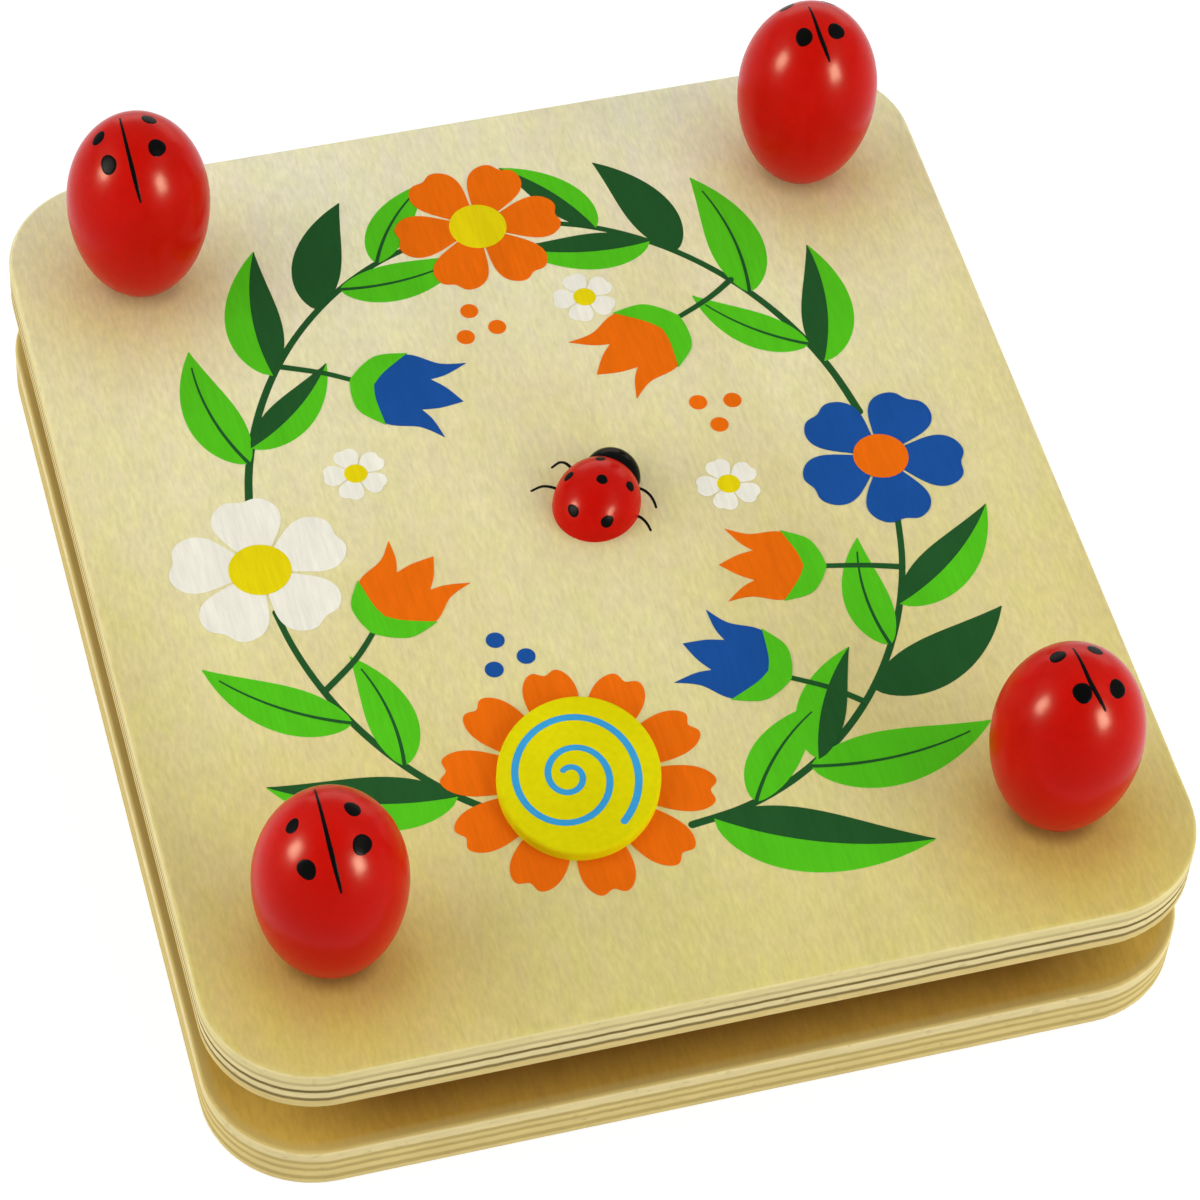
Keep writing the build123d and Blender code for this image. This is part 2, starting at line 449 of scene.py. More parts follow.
def prism(bm, pts, z0, z1):
    clean = []
    for p in pts:
        if not clean or math.dist(p, clean[-1]) > WELD:
            clean.append(p)
    if math.dist(clean[0], clean[-1]) < WELD:
        clean.pop()
    if signed_area(clean) < 0:
        clean.reverse()
    lo = [bm.verts.new((x, y, z0)) for x, y in clean]
    hi = [bm.verts.new((x, y, z1)) for x, y in clean]
    caps = [bm.faces.new(hi), bm.faces.new(lo[::-1])]
    for cap in caps:
        cap.normal_update()
    n = len(clean)
    for i in range(n):
        j = (i + 1) % n
        bm.faces.new((lo[i], lo[j], hi[j], hi[i]))
    bmesh.ops.triangulate(bm, faces=caps, quad_method="BEAUTY", ngon_method="EAR_CLIP")


def add_ring(bm, x, y, z, radii):
    n = len(radii)
    turns = [2 * math.pi * k / n for k in range(n)]
    return [bm.verts.new((x + r * math.cos(t), y + r * math.sin(t), z)) for r, t in zip(radii, turns)]


def join_rings(bm, rows):
    for u, v in zip(rows, rows[1:]):
        for k in range(len(u)):
            j = (k + 1) % len(u)
            bm.faces.new((u[k], u[j], v[j], v[k]))


def smooth_curve(points, per):
    out = []
    n = len(points)
    for i in range(n - 1):
        p0 = points[max(i - 1, 0)]
        p1 = points[i]
        p2 = points[i + 1]
        p3 = points[min(i + 2, n - 1)]
        for k in range(per):
            t = k / per
            q = []
            for a, b, c, d in zip(p0, p1, p2, p3):
                square = 2 * a - 5 * b + 4 * c - d
                cube = 3 * b - a - 3 * c + d
                q.append(0.5 * (2 * b + (c - a) * t + square * t * t + cube * t ** 3))
            out.append(tuple(q))
    out.append(tuple(points[-1]))
    return out


def sides(curve, width):
    left = []
    right = []
    n = len(curve)
    for i, (x, y) in enumerate(curve):
        x0, y0 = curve[max(i - 1, 0)]
        x1, y1 = curve[min(i + 1, n - 1)]
        d = math.hypot(x1 - x0, y1 - y0) or 1.0
        w = width(i / (n - 1)) / 2
        nx = -(y1 - y0) / d * w
        ny = (x1 - x0) / d * w
        left.append((x + nx, y + ny))
        right.append((x - nx, y - ny))
    return left, right


# Printed design: a formal wreath of paired leaves, blossoms, tulips and berries

SHAPES = []
INK_SUNK = 0.004
INK_LIFT = 0.01
INK_STEP = 0.0015
WREATH_X = 0.0
WREATH_Y = 4.0
WREATH_A = 66.0
WREATH_B = 80.0
LEAF_SPREAD = 44.0
LEAF_SLIM = 0.34
LEAF_BEND = 0.75
HANG = 17.0
STALK_BOW = 1.2
BERRY_R = 1.9
BERRY_GAP = 4.2
OUT = 1
IN = -1
# Printing order, from the wood up
STEM = 1
OUTER_LEAF = 2
LEG = 2
INNER_LEAF = 3
STALK = 4
DISC_BLOOM = 4
BERRY = 5
BLOOM = 6


def put(colour, pts, layer):
    SHAPES.append((layer, colour, list(pts)))


def round_end(a, b):
    n = 8
    x = (a[0] + b[0]) / 2
    y = (a[1] + b[1]) / 2
    r = math.dist(a, b) / 2
    start = math.atan2(a[1] - y, a[0] - x)
    turns = [start - math.pi * k / n for k in range(1, n)]
    return [(x + r * math.cos(t), y + r * math.sin(t)) for t in turns]


def ribbon(curve, w0, w1):
    left, right = sides(curve, lambda t: w0 + (w1 - w0) * t)
    return left + round_end(left[-1], right[-1]) + right[::-1] + round_end(right[0], left[0])


def stroke(colour, points, w0, w1, layer):
    put(colour, ribbon(smooth_curve(points, 12), w0, w1), layer)


def circle(colour, x, y, r, layer):
    n = 36
    turns = [2 * math.pi * i / n for i in range(n)]
    put(colour, [(x + r * math.cos(t), y + r * math.sin(t)) for t in turns], layer)


def placed(points, x, y, turn, size=1.0):
    c = math.cos(math.radians(turn)) * size
    s = math.sin(math.radians(turn)) * size
    return [(x + u * c - v * s, y + u * s + v * c) for u, v in points]


def leaf(x, y, turn, length, width, bend, kind, layer):
    n = 30
    mid = [(x, y)]
    for i in range(n):
        h = math.radians(turn + bend * (i + 0.5) / n)
        px, py = mid[-1]
        mid.append((px + length / n * math.cos(h), py + length / n * math.sin(h)))

    def blade(t):
        return width * max(0.015, math.sin(math.pi * t ** 0.74)) ** 0.9

    left, right = sides(mid, blade)
    if kind == "dark":
        put("dark_green", left + right[::-1], layer)
        return
    put("light_green", left + right[::-1], layer)
    if kind == "two":
        put("dark_green", mid + (right if bend < 0 else left)[::-1], layer + 1)
    else:
        put("dark_green", ribbon(mid[:-4], 0.8, 0.35), layer + 1)


def blossom(x, y, r, count, turn, colour, heart, heart_r, layer=BLOOM):
    half = math.pi / count * 0.93
    petal = []
    n = 40
    for i in range(n + 1):
        t = i / n
        a = half * math.sin(math.pi * (t - 0.5))
        lobe = math.cos(math.pi * (t - 0.5)) ** 0.55
        dip = 0.07 * math.exp(-((t - 0.5) / 0.07) ** 2)
        reach = r * (0.30 + 0.70 * lobe - dip)
        petal.append((reach * math.cos(a), reach * math.sin(a)))
    petal.append((0.0, 0.0))
    for i in range(count):
        put(colour, placed(petal, x, y, turn + 360 * i / count), layer)
    circle(heart, x, y, heart_r, layer + 2)


def tulip(x, y, turn, size, colour):
    side = smooth_curve([(0.0, 0.10), (0.12, 0.34), (0.42, 0.46), (0.74, 0.42), (1.0, 0.49)], 8)
    notch = smooth_curve([(1.0, 0.49), (0.84, 0.30), (0.70, 0.20)], 6)[1:]
    tip = smooth_curve([(0.70, 0.20), (0.88, 0.13), (1.08, 0.0)], 6)[1:]
    half = side + notch + tip
    put(colour, placed(half + [(u, -v) for u, v in half[-2::-1]], x, y, turn, size), BLOOM)
    outer = smooth_curve([(-0.08, 0.0), (-0.01, 0.20), (0.12, 0.375), (0.40, 0.475)], 7)
    inner = smooth_curve([(0.40, 0.475), (0.23, 0.18), (0.17, 0.0)], 7)[1:]
    for s in (1, -1):
        put("light_green", placed([(u, s * v) for u, v in outer + inner], x, y, turn, size), BLOOM + 1)


def ring(angle, grow=0.0):
    a = math.radians(angle)
    return (WREATH_X + (WREATH_A + grow) * math.cos(a), WREATH_Y + (WREATH_B + grow) * math.sin(a))


def garland(a0, a1, leaves):
    n = 8
    stroke("dark_green", [ring(a0 + (a1 - a0) * i / n) for i in range(n + 1)], 1.7, 1.3, STEM)
    way = 1 if a1 > a0 else -1
    for at, side, length, kind in leaves:
        x, y = ring(at)
        x1, y1 = ring(at + way)
        head = math.degrees(math.atan2(y1 - y, x1 - x))
        spread = -LEAF_SPREAD * way * side
        layer = INNER_LEAF if side == IN else OUTER_LEAF
        leaf(x, y, head + spread, length, length * LEAF_SLIM, -LEAF_BEND * spread, kind, layer)


def hang(at, colour, size, lean):
    x, y = ring(at)
    to_x, to_y = ring(at + lean, -HANG)
    turn = math.degrees(math.atan2(to_y - y, to_x - x))
    bow = ((x + to_x) / 2 + STALK_BOW, (y + to_y) / 2)
    stroke("dark_green", [(x, y), bow, (to_x, to_y)], 1.4, 1.1, STALK)
    tulip(to_x, to_y, turn, size, colour)


# Places on the wreath are angles in degrees, and each leaf has an angle, a side, a length and a kind
def wreath():
    garland(238, 188, [(232, OUT, 38, "two"), (222, IN, 29, "line"), (211, OUT, 33, "line")])
    garland(171, 102, [
        (160, OUT, 33, "line"), (157, IN, 28, "two"), (142, OUT, 35, "two"),
        (126, OUT, 31, "dark"), (120, IN, 30, "line"), (111, OUT, 26, "line"),
    ])
    garland(9, 78, [
        (20, OUT, 33, "two"), (24, IN, 28, "line"), (38, OUT, 35, "line"),
        (53, OUT, 31, "dark"), (58, IN, 30, "two"), (68, OUT, 27, "two"),
    ])
    garland(-88, -10, [
        (-84, OUT, 44, "two"), (-76, IN, 29, "line"), (-64, OUT, 39, "line"), (-62, IN, 29, "two"),
        (-45, OUT, 35, "dark"), (-36, IN, 28, "line"), (-28, OUT, 33, "two"),
    ])
    hang(204, "orange", 20, -6)
    hang(140, "blue", 21, -4)
    hang(42, "orange", 21, 4)
    hang(-48, "blue", 20, -4)
    hang(-21, "orange", 19, -2)
    blossom(*ring(180), 19, 5, 90, "white", "yellow", 6.4)
    blossom(*ring(90), 18.5, 6, 0, "orange", "yellow", 6.2)
    blossom(*ring(0), 18, 5, 54, "blue", "orange", 5.8)
    blossom(DISC_X, DISC_Y, 28, 10, 18, "orange", "orange", 15, DISC_BLOOM)
    for at, grow in ((160, -22), (68, -20), (0, -33)):
        blossom(*ring(at, grow), 7, 5, 30, "white", "yellow", 2.4)
    for at, grow, colour in ((224, -34, "blue"), (100, -26, "orange"), (22, -27, "orange")):
        x, y = ring(at, grow)
        for i in range(3):
            a = math.radians(at + 120 * i)
            circle(colour, x + BERRY_GAP * math.cos(a), y + BERRY_GAP * math.sin(a), BERRY_R, BERRY)


# Thin printed legs beside the ladybird ornament, measured from its middle
LEGS = (
    [(-2.2, 9.4), (-3.3, 11.6), (-4.4, 12.25), (-5.4, 11.95), (-6.5, 11.3)],
    [(-6.6, 5.5), (-8.2, 6.5), (-9.6, 6.95), (-10.9, 6.75), (-12.2, 6.3)],
    [(8.8, 2.4), (10.3, 1.5), (11.3, -0.1), (11.7, -2.0), (11.7, -3.6)],
    [(6.4, -4.2), (7.8, -5.3), (8.5, -6.5), (8.85, -7.8), (9.0, -9.1)],
)


def beetle_legs():
    for leg in LEGS:
        stroke("black", placed(leg, BEETLE_X, BEETLE_Y, 0), 0.75, 0.5, LEG)


# Each shape stands a hair above the ones printed before it
def print_inks():
    meshes = {colour: bmesh.new() for colour in INKS}
    for i, (_, colour, pts) in enumerate(sorted(SHAPES, key=lambda s: s[0])):
        prism(meshes[colour], pts, Z_TOP - INK_SUNK, Z_TOP + INK_LIFT + INK_STEP * i)
    for colour, bm in meshes.items():
        finish_mesh("print_" + colour, bm, INKS[colour], "lid")


wreath()
beetle_legs()
print_inks()


# Egg knobs with painted line and spots

# Height of the widest ring, as a share of the knob's height
KNOB_BELLY = 0.5143
KNOB_SEAT = 6.3
SEAT_RISE = 0.12
SEAT_BREAK = 0.14
INSERT_R = 4.5
INSERT_L = 17.0
INSERT_STEP = 0.1
BORE_R = 3.4
BORE_END = 32.0
# The turned wood stays this far inside its solid, which leaves room for the paint
COAT = 0.06
PAINT_LIFT = 0.05
PAINT_SUNK = 0.03
PAINT_ROOT = 0.1
# Width and height of a spot as shares of its radius, and the turn from each spot to the next
SPOT_WIDE = 0.88
SPOT_TALL = 0.95
SPOT_TURN = 0.4


class Egg:
    def __init__(self, corner):
        (x0, _, z0), (x1, _, z1) = box_mm("knob_" + corner)
        self.x, self.y, _ = middle("knob_" + corner)
        self.z = z0
        self.r = (x1 - x0) / 2 - COAT
        self.h = z1 - z0 - COAT
        self.belly = self.h * KNOB_BELLY
        self.up = self.h - self.belly
        self.low = self.belly / math.sqrt(1 - (KNOB_SEAT / self.r) ** 2)

    def at(self, turn, fall):
        b = self.up if fall <= math.pi / 2 else self.low
        s = self.r * math.sin(fall)
        return Vector((s * math.cos(turn), s * math.sin(turn), self.belly + b * math.cos(fall)))

    def onto(self, p, lift):
        q = p - Vector((0, 0, self.belly))
        b = self.up if q.z > 0 else self.low
        g = math.sqrt((q.x * q.x + q.y * q.y) / self.r ** 2 + q.z * q.z / b ** 2)
        q = q / g
        n = Vector((q.x / self.r ** 2, q.y / self.r ** 2, q.z / b ** 2)).normalized()
        return q + Vector((0, 0, self.belly)) + n * lift, n

    def world(self, p):
        return (p.x + self.x, p.y + self.y, p.z + self.z)


def egg_mesh(egg, corner):
    bm = bmesh.new()
    seg = 96
    end = math.pi - math.asin(KNOB_SEAT / egg.r)
    profile = []
    rows = 72
    for i in range(1, rows + 1):
        p = egg.at(0, end * i / rows)
        profile.append((p.x, p.z))
    profile[-1] = (profile[-1][0], SEAT_RISE)
    profile += [(KNOB_SEAT - SEAT_BREAK, 0.0), (INSERT_R, 0.0)]
    profile += [(INSERT_R, INSERT_L - INSERT_STEP), (BORE_R, INSERT_L), (BORE_R, BORE_END)]
    top = bm.verts.new(egg.world(egg.at(0, 0)))
    rings = [add_ring(bm, egg.x, egg.y, egg.z + z, [r] * seg) for r, z in profile]
    for k in range(seg):
        bm.faces.new((top, rings[0][(k + 1) % seg], rings[0][k]))
    join_rings(bm, rings)
    bm.faces.new(rings[-1])
    finish_mesh("knob_" + corner + "_turned", bm, red, "knob_" + corner, 40, ("knob_" + corner,))


def daub(bm, surface, centre, normal, ru, rv, turn, seed):
    phase = random.Random(seed).uniform(0, 6)
    up = Vector((0, 0, 1)) if abs(normal.z) < 0.95 else Vector((0, 1, 0))
    t1 = up.cross(normal).normalized()
    t2 = normal.cross(t1)
    u = t1 * math.cos(turn) + t2 * math.sin(turn)
    v = normal.cross(u)
    seg = 28
    rings = []
    top = PAINT_LIFT
    for f, lift in ((0.0, top), (0.45, top), (0.78, top), (0.94, top * 0.8), (1.0, -PAINT_SUNK)):
        row = []
        for k in range(1 if f == 0 else seg):
            a = 2 * math.pi * k / seg
            w = 1 + 0.05 * math.sin(2 * a + phase) + 0.035 * math.sin(3 * a + 2 * phase)
            p = centre + u * (ru * f * w * math.cos(a)) + v * (rv * f * w * math.sin(a))
            row.append(bm.verts.new(surface(p, lift)))
        rings.append(row)
    low = bm.verts.new(surface(centre, -PAINT_ROOT))
    for k in range(seg):
        j = (k + 1) % seg
        bm.faces.new((rings[0][0], rings[1][j], rings[1][k]))
        bm.faces.new((low, rings[-1][k], rings[-1][j]))
    join_rings(bm, rings[1:])


def brush_line(bm, surface, path, widths):
    top = PAINT_LIFT
    section = ((-1.0, -PAINT_SUNK), (-0.75, top), (0.0, top), (0.75, top), (1.0, -PAINT_SUNK))
    rows = []
    n = len(path)
    for i, p in enumerate(path):
        q0 = path[max(i - 1, 0)]
        q1 = path[min(i + 1, n - 1)]
        along = (q1 - q0).normalized()
        _, normal = surface(p, 0.0, True)
        side = along.cross(normal).normalized()
        w = widths(i / (n - 1)) / 2
        rows.append([bm.verts.new(surface(p + side * (w * f), lift)) for f, lift in section])
    join_rings(bm, rows)
    bm.faces.new(rows[0][::-1])
    bm.faces.new(rows[-1])


# Per knob: the line's start, middle and end, then the spots, as turn, fall from the crown and radius
KNOB_PAINT = {
    "front_left": (
        (100, 31), (-109, 21), (-94, 54),
        [(177, 29, 1.7), (-130, 42, 2.2), (-55, 31, 2.3), (4, 16, 1.9)],
    ),
    "back_left": (
        (118, 20), (-112, 27), (-98, 55),
        [(167, 31, 1.9), (-143, 35, 2.2), (-54, 23, 2.2), (37, 16, 1.8)],
    ),
    "back_right": (
        (98, 14), (-97, 16), (-86, 38),
        [(-134, 21, 2.2), (-48, 20, 2.2), (118, 34, 1.9), (52, 34, 1.9)],
    ),
    "front_right": (
        (91, 20), (-85, 12), (-75, 36),
        [(-107, 21, 2.2), (-39, 30, 2.3), (130, 21, 1.9), (45, 23, 1.9)],
    ),
}


def line_width(t):
    return 0.3 + 0.72 * math.sin(math.pi * (0.04 + 0.93 * t ** 1.5)) ** 0.9


def paint_knob(egg, corner):
    bm = bmesh.new()

    def surface(p, lift, both=False):
        q, n = egg.onto(p, lift)
        return (q, n) if both else egg.world(q)

    *line, spots = KNOB_PAINT[corner]
    marks = [egg.at(math.radians(turn), math.radians(fall)) for turn, fall in line]
    path = [egg.onto(Vector(p), 0.0)[0] for p in smooth_curve(marks, 22)]
    brush_line(bm, surface, path, line_width)
    for i, (turn, fall, r) in enumerate(spots):
        c = egg.at(math.radians(turn), math.radians(fall))
        _, n = egg.onto(c, 0.0)
        daub(bm, surface, c, n, SPOT_WIDE * r, SPOT_TALL * r, SPOT_TURN * i, i + len(corner))
    finish_mesh("knob_" + corner + "_paint", bm, black, "knob_" + corner, 60)


for corner in CORNERS:
    egg = Egg(corner)
    egg_mesh(egg, corner)
    paint_knob(egg, corner)


# Spots on the ladybird ornament, whose dome is half an ellipsoid

BEETLE_TURN = math.radians(52)
BEETLE_A = 10.1
BEETLE_B = 9.0
BEETLE_SPOT_TALL = 1.1
BEETLE_SPOT_TURN = 0.3
BEETLE_SEED = 20
# Each spot's place ahead of and beside the dome's middle, then its radius
BEETLE_SPOTS = (
    (5.2, 1.8, 1.15), (-0.8, -1.0, 1.15), (-1.0, 6.2, 1.2),
    (2.2, -6.2, 1.2), (-7.85, 2.25, 1.3), (-6.85, -4.95, 1.35),
)


def beetle_world(p):
    c = math.cos(BEETLE_TURN)
    s = math.sin(BEETLE_TURN)
    return (BEETLE_X + p.x * c - p.y * s, BEETLE_Y + p.x * s + p.y * c, BEETLE_Z + p.z)


def beetle_surface(p, lift, both=False):
    g = math.sqrt((p.x / BEETLE_A) ** 2 + (p.y / BEETLE_B) ** 2 + (p.z / BEETLE_H) ** 2)
    q = p / g
    n = Vector((q.x / BEETLE_A ** 2, q.y / BEETLE_B ** 2, q.z / BEETLE_H ** 2)).normalized()
    q = q + n * lift
    return (q, n) if both else beetle_world(q)


def beetle_spots():
    bm = bmesh.new()
    for i, (u, v, r) in enumerate(BEETLE_SPOTS):
        c = Vector((u, v, BEETLE_H * math.sqrt(1 - (u / BEETLE_A) ** 2 - (v / BEETLE_B) ** 2)))
        _, n = beetle_surface(c, 0.0, True)
        daub(bm, beetle_surface, c, n, r, r * BEETLE_SPOT_TALL, BEETLE_SPOT_TURN * i, BEETLE_SEED + i)
    finish_mesh("beetle_spots", bm, black, "lid", 60)


beetle_spots()


# Blue spiral on the disc

DISC_TURN = math.radians(-19)
DISC_A = 16.2
DISC_B = 18.9
SPIRAL_OFF = (-1.8, -0.4)
SPIRAL_START = 125
SPIRAL_SWEEP = 900
SPIRAL_LIFT = 0.03


def spiral():
    n = 240
    curve = []
    for i in range(n + 1):
        s = i / n
        r = 0.12 + 0.67 * (3 * s ** 2 - 2 * s ** 3) ** 1.2 + 0.06 * s ** 10
        a = math.radians(SPIRAL_START - SPIRAL_SWEEP * s) - DISC_TURN
        curve.append((r * DISC_A * math.cos(a), r * DISC_B * math.sin(a)))
    x = DISC_X + SPIRAL_OFF[0]
    y = DISC_Y + SPIRAL_OFF[1]
    outline = ribbon(placed(curve, x, y, math.degrees(DISC_TURN)), 1.25, 1.5)
    bm = bmesh.new()
    prism(bm, outline, DISC_TOP - INK_SUNK, DISC_TOP + SPIRAL_LIFT)
    finish_mesh("disc_spiral", bm, sky, "lid")


spiral()


# Coach bolts: domed head, square neck and a shank with a cut thread

HEAD_H = 3.0
NECK_H = 3.4
NECK_HALF = 3.0
PITCH = 1.0
ROOT_R = 2.45
CREST_R = 2.98
TIP_R = 2.3
TIP_L = 1.2
JOIN = 0.1


def bolt_head(bm, x, y, z0, head_r):
    seg = 48
    steps = 12
    cap = (head_r ** 2 + HEAD_H ** 2) / (2 * HEAD_H)
    tilt = math.asin(head_r / cap)
    tip = bm.verts.new((x, y, z0))
    rows = []
    for i in range(1, steps + 1):
        t = tilt * i / steps
        rows.append(add_ring(bm, x, y, z0 + cap - cap * math.cos(t), [cap * math.sin(t)] * seg))
    for k in range(seg):
        bm.faces.new((tip, rows[0][(k + 1) % seg], rows[0][k]))
    join_rings(bm, rows)
    bm.faces.new(rows[-1])


def bolt_shank(bm, x, y, z0, z1):
    seg = 24
    per = 8
    steps = int((z1 - z0) / PITCH * per)
    rows = []
    for i in range(steps + 1):
        z = z0 + (z1 - z0) * i / steps
        fade = min(1.0, max(0.0, (z1 - z) / TIP_L))
        radii = []
        for k in range(seg):
            flank = abs(((z - z0) / PITCH - k / seg) % 1.0 - 0.5) * 2
            r = ROOT_R + (CREST_R - ROOT_R) * min(1.0, max(0.0, 1.25 * flank - 0.1))
            radii.append(TIP_R + (r - TIP_R) * fade)
        rows.append(add_ring(bm, x, y, z, radii))
    join_rings(bm, rows)
    bm.faces.new(rows[0][::-1])
    bm.faces.new(rows[-1])


def bolt_mesh(corner):
    (x0, _, z0), (x1, _, z1) = box_mm("bolt_" + corner)
    x, y, _ = middle("bolt_" + corner)
    z_neck = z0 + HEAD_H
    z_shank = z_neck + NECK_H
    bm = bmesh.new()
    bolt_head(bm, x, y, z0, (x1 - x0) / 2)
    square = [(x + u * NECK_HALF, y + v * NECK_HALF) for u, v in ((-1, -1), (1, -1), (1, 1), (-1, 1))]
    prism(bm, square, z_neck - JOIN, z_shank)
    bolt_shank(bm, x, y, z_shank - JOIN, z1)
    finish_mesh("bolt_" + corner + "_cut", bm, zinc, "base", 35, ("bolt_" + corner,))


for corner in CORNERS:
    bolt_mesh(corner)


# Corrugated cards: two liners and a fluted layer between

CARD_CUT = 24.0
LINER_T = 0.38
FLUTE_T = 0.3
FLUTE_PITCH = 5.2
FLUTE_BACK = 0.4


def octagon(w, d, cut):
    right = [(w - cut, -d), (w, -d + cut), (w, d - cut), (w - cut, d)]
    return right + [(-x, y) for x, y in right[::-1]]


def card_mesh(name):
    (_, _, z0), (w, d, z1) = box_mm(name)
    bm = bmesh.new()
    prism(bm, octagon(w, d, CARD_CUT), z0, z0 + LINER_T)
    prism(bm, octagon(w, d, CARD_CUT), z1 - LINER_T, z1)
    per = 10
    steps = int(2 * w / FLUTE_PITCH * per)
    rise = (z1 - z0) / 2 - LINER_T - FLUTE_T / 2
    half = FLUTE_T / 2
    rows = []
    for i in range(steps + 1):
        x = -w + 2 * w * i / steps
        y = d - max(0.0, abs(x) - (w - CARD_CUT)) - FLUTE_BACK
        z = (z0 + z1) / 2 + rise * math.sin(2 * math.pi * (x + w) / FLUTE_PITCH)
        section = ((-y, -half), (-y, half), (y, half), (y, -half))
        rows.append([bm.verts.new((x, v, z + o)) for v, o in section])
    join_rings(bm, rows)
    bm.faces.new(rows[0])
    bm.faces.new(rows[-1][::-1])
    finish_mesh(name + "_fluted", bm, card, "base", 35, (name,))


for i in range(1, 6):
    card_mesh("card_%d" % i)


# Materials on the CAD nodes that no mesh above replaces


def dress(name, mat, smooth=None):
    ob = nodes[name]
    ob.data.materials.clear()
    ob.data.materials.append(mat)
    if smooth is not None:
        ob.data.polygons.foreach_set("use_smooth", [True] * len(ob.data.polygons))
        ob.data.set_sharp_from_angle(angle=math.radians(smooth))


dress("top_board", ply_top, 40)
dress("bottom_board", ply_low, 40)
dress("beetle_body", red, 50)
dress("beetle_head", black, 50)
dress("disc", yellow, 40)
for corner in CORNERS:
    dress("insert_" + corner, brass, 40)
for i in range(1, 9):
    dress("paper_%d" % i, paper)


# Stage, lamps and camera, with distances in metres

# The pale floor stays white to the camera and keeps a soft shadow
FLOOR_HALF = 12.0
FLOOR_DROP = 0.0002
FLOOR_BOUNCE = 0.50
FLOOR_SHOWN = 0.25
FLOOR_GLOW = 0.85


def floor_material():
    m = bpy.data.materials.new("floor_white")
    m.use_nodes = True
    nt = m.node_tree
    nt.nodes.clear()
    out = nt.nodes.new("ShaderNodeOutputMaterial")
    bounce = node(nt, "BsdfDiffuse", {"Color": (FLOOR_BOUNCE, FLOOR_BOUNCE, FLOOR_BOUNCE, 1)})
    shown = node(nt, "BsdfDiffuse", {"Color": (FLOOR_SHOWN, FLOOR_SHOWN, FLOOR_SHOWN, 1)})
    glow = node(nt, "Emission", {"Color": (1, 1, 1, 1), "Strength": FLOOR_GLOW})
    lit = node(nt, "AddShader", {0: shown.outputs[0], 1: glow.outputs[0]})
    # The floor glows only where it is looked at or mirrored, and throws no light of its own on the wood
    rays = node(nt, "LightPath")
    seen = maths(nt, "MAXIMUM", rays.outputs["Is Camera Ray"], rays.outputs["Is Transmission Ray"])
    seen = maths(nt, "MAXIMUM", seen, rays.outputs["Is Glossy Ray"])
    choice = node(nt, "MixShader", {0: seen, 1: bounce.outputs[0], 2: lit.outputs[0]})
    nt.links.new(choice.outputs[0], out.inputs[0])
    return m


def stage_floor():
    s = FLOOR_HALF
    me = bpy.data.meshes.new("floor")
    me.from_pydata([(-s, -s, 0), (s, -s, 0), (s, s, 0), (-s, s, 0)], [], [(0, 1, 2, 3)])
    me.materials.append(floor_material())
    ob = bpy.data.objects.new("floor", me)
    scene.collection.objects.link(ob)
    ob.location.z = -FLOOR_DROP


stage_floor()


# Light tent: bright all round, dark about the front and overhead
DARK_SIDE = (-0.197, -0.583, 0.788)
TENT_STRENGTH = 0.94


def studio_world():
    w = bpy.data.worlds.new("studio")
    scene.world = w
    w.use_nodes = True
    nt = w.node_tree
    nt.nodes.clear()
    out = nt.nodes.new("ShaderNodeOutputWorld")
    tc = node(nt, "TexCoord")
    toward = node(nt, "VectorMath", {0: tc.outputs["Generated"], 1: DARK_SIDE}, operation="DOT_PRODUCT")
    level = grey(nt, toward.outputs["Value"], [(0.60, 1.0), (0.80, 0.42), (0.93, 0.12)])
    height = node(nt, "SeparateXYZ", {"Vector": tc.outputs["Generated"]}).outputs[2]
    level = mix(nt, 1.0, level, grey(nt, height, [(0.0, 0.45), (0.4, 1.0)]), "MULTIPLY")
    env = node(nt, "Background", {"Color": level, "Strength": TENT_STRENGTH})
    nt.links.new(env.outputs[0], out.inputs[0])


studio_world()


# Lamps, all at one distance from the middle of the top board
LAMP_DISTANCE = 1.6
LAMP_COLOUR = (1.0, 0.94, 0.84)
LEFT = (-0.93, -0.06, 0.34)
RIGHT = (0.53, -0.80, 0.31)


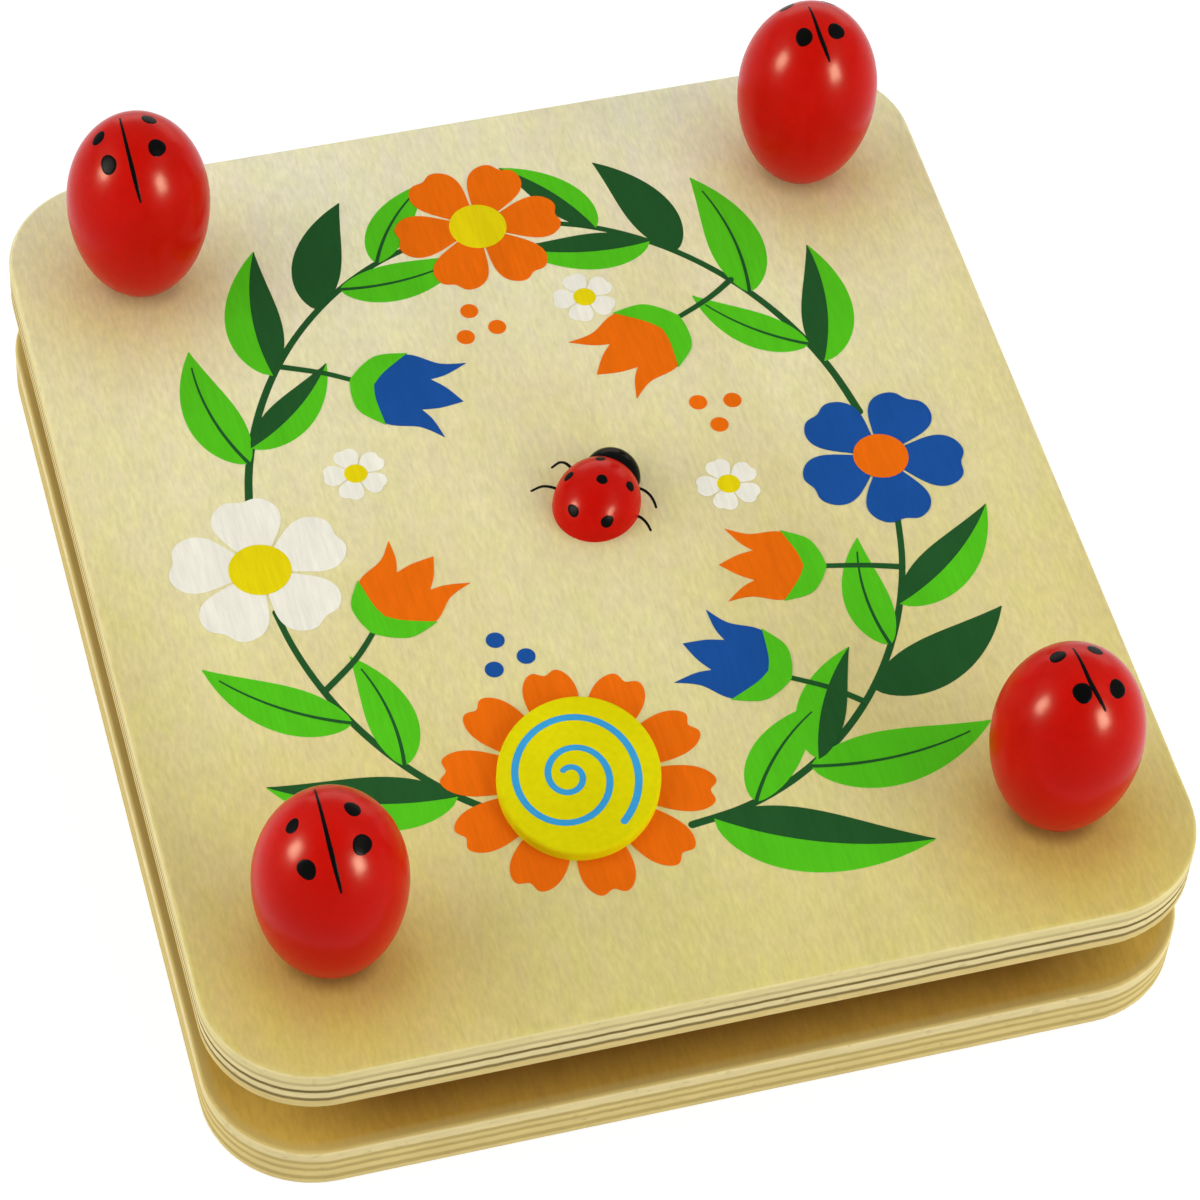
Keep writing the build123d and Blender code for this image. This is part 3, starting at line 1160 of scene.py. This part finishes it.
def soft_box(name, direction, wide, tall, power, diffuse=True, glossy=True):
    lamp = bpy.data.lights.new(name, "AREA")
    lamp.shape = "RECTANGLE"
    lamp.size = wide
    lamp.size_y = tall
    lamp.energy = power
    lamp.color = LAMP_COLOUR
    ob = bpy.data.objects.new(name, lamp)
    scene.collection.objects.link(ob)
    d = Vector(direction).normalized()
    ob.location = d * LAMP_DISTANCE + Vector((0, 0, Z_TOP * MM))
    ob.rotation_mode = "QUATERNION"
    ob.rotation_quaternion = d.to_track_quat("Z", "Y")
    ob.visible_diffuse = diffuse
    ob.visible_glossy = glossy


# Two wide fills light the wood, three boxes only show as highlights in the gloss, and two keys do both
soft_box("left_fill", LEFT, 1.2, 1.2, 12.0, glossy=False)
soft_box("right_fill", RIGHT, 1.2, 1.2, 13.0, glossy=False)
soft_box("left_box", LEFT, 0.46, 0.54, 92.0, diffuse=False)
soft_box("right_box", RIGHT, 0.46, 0.54, 100.0, diffuse=False)
soft_box("back_box", (0.40, 0.88, 0.20), 2.4, 0.7, 14.0, diffuse=False)
soft_box("left_key", (-0.83, 0.34, 0.44), 0.8, 0.8, 2.4)
soft_box("right_key", (0.63, -0.39, 0.66), 0.8, 0.8, 3.4)


# Camera of the photograph: its frame, focal length and shifts are in pixels, its angles in degrees
IMAGE = 1200
FOCAL = 4711.5
SHIFT_X = 20.35
SHIFT_Y = -72.5
SENSOR_MM = 36.0
AZIMUTH = -18.661
ELEVATION = 52.020
ROLL = 4.466
CAMERA_DISTANCE = 0.964


def photo_camera():
    az = math.radians(AZIMUTH)
    el = math.radians(ELEVATION)
    roll = math.radians(ROLL)
    back = Vector((math.sin(az) * math.cos(el), -math.cos(az) * math.cos(el), math.sin(el)))
    level = (-back).cross(Vector((0, 0, 1))).normalized()
    rise = level.cross(-back)
    right = level * math.cos(roll) + rise * math.sin(roll)
    up = rise * math.cos(roll) - level * math.sin(roll)
    cam = bpy.data.cameras.new("photo_camera")
    cam.sensor_width = SENSOR_MM
    cam.lens = FOCAL / IMAGE * SENSOR_MM
    cam.shift_x = SHIFT_X / IMAGE
    cam.shift_y = SHIFT_Y / IMAGE
    cam.clip_start = 0.01
    cam.clip_end = 100
    ob = bpy.data.objects.new("photo_camera", cam)
    scene.collection.objects.link(ob)
    place = Matrix((right, up, back)).transposed().to_4x4()
    place.translation = back * CAMERA_DISTANCE + Vector((0, 0, Z_TOP * MM))
    ob.matrix_world = place
    scene.camera = ob


photo_camera()
